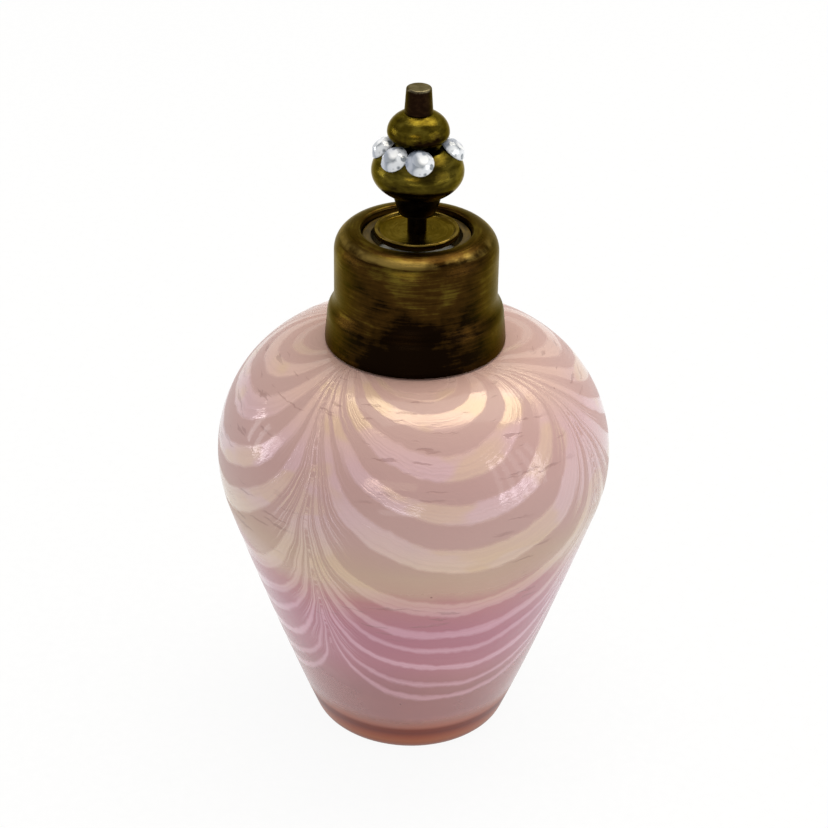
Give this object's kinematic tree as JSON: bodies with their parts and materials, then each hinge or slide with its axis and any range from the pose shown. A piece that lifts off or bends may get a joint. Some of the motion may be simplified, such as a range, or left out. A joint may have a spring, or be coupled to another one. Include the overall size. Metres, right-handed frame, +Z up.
{
  "type": "perfume atomiser",
  "caption": "Blown glass perfume bottle with a screw-on brass collar and a press-top finger pump under a beaded, stone-set finial.",
  "frame": {"origin": "middle of the bottle's foot, on the surface that it stands on", "axes": "+Z up along the bottle's axis, -Y to the front, +X to the right as seen from the front"},
  "size_m": [0.07, 0.07, 0.1235],
  "materials": {
    "bottle_glass": "glossy, iridescent, with pale pulled-feather threads",
    "hidden_brass": "satin",
    "seal_rubber": "matt",
    "collar_brass": "dark antique, brushed round",
    "liner_plastic": "matt",
    "well_brass": "dull satin",
    "pump_plastic": "satin",
    "piston_plastic": "satin",
    "stem_plastic": "satin",
    "spring_steel": "bright",
    "tube_plastic": "translucent",
    "plate_brass": "polished, dark antique",
    "stem_brass": "nearly black",
    "bead_brass": "polished, olive antique",
    "tip_brass": "dark copper brown",
    "nozzle_plastic": "satin",
    "stone_glass": "clear brilliant with a foiled back"
  },
  "bodies": {
    "bottle": {"glass_bottle": "bottle_glass", "neck_ring": "hidden_brass"},
    "pump": {"pump_housing": "pump_plastic", "pump_gland": "pump_plastic", "stem_seal": "seal_rubber", "neck_gasket": "seal_rubber", "dip_tube": "tube_plastic", "return_spring": "spring_steel"},
    "slip_ring": {"well_ring": "well_brass"},
    "closure": {"collar": "collar_brass", "collar_liner": "liner_plastic"},
    "plunger": {"pump_stem": "stem_plastic", "piston": "piston_plastic"},
    "actuator": {"button_plate": "plate_brass", "finial_stem": "stem_brass", "lower_bead": "bead_brass", "upper_bead": "bead_brass", "finial_tip": "tip_brass", "nozzle_insert": "nozzle_plastic", "rhinestone_1": "stone_glass", "rhinestone_2": "stone_glass", "rhinestone_3": "stone_glass", "rhinestone_4": "stone_glass", "rhinestone_5": "stone_glass", "rhinestone_6": "stone_glass", "rhinestone_7": "stone_glass"},
    "ball": {"inlet_ball": "spring_steel"}
  },
  "joints": [
    {"name": "closure_pull", "type": "slide", "parent": "bottle", "child": "pump", "axis": [0, 0, 1], "range_m": [0, 0.13]},
    {"name": "collar_rise", "type": "slide", "parent": "pump", "child": "slip_ring", "axis": [0, 0, 1], "range_m": [0, 0.00375]},
    {"name": "collar_turn", "type": "hinge", "parent": "slip_ring", "child": "closure", "pos_m": [0, 0, 0.085], "axis": [0, 0, 1], "range_deg": [0, 900]},
    {"name": "press", "type": "slide", "parent": "pump", "child": "plunger", "axis": [0, 0, -1], "range_m": [0, 0.003], "stiffness_N_per_m": 900, "springref_m": -0.0012, "deforming": ["return_spring"]},
    {"name": "spray_turn", "type": "hinge", "parent": "plunger", "child": "actuator", "pos_m": [0, 0, 0.098], "axis": [0, 0, 1], "continuous": true},
    {"name": "ball_lift", "type": "slide", "parent": "pump", "child": "ball", "axis": [0, 0, 1], "range_m": [0, 0.0002]}
  ],
  "couplings": [
    {"joint": "collar_rise", "follows": "collar_turn", "m_per_rad": 0.00023873}
  ]
}
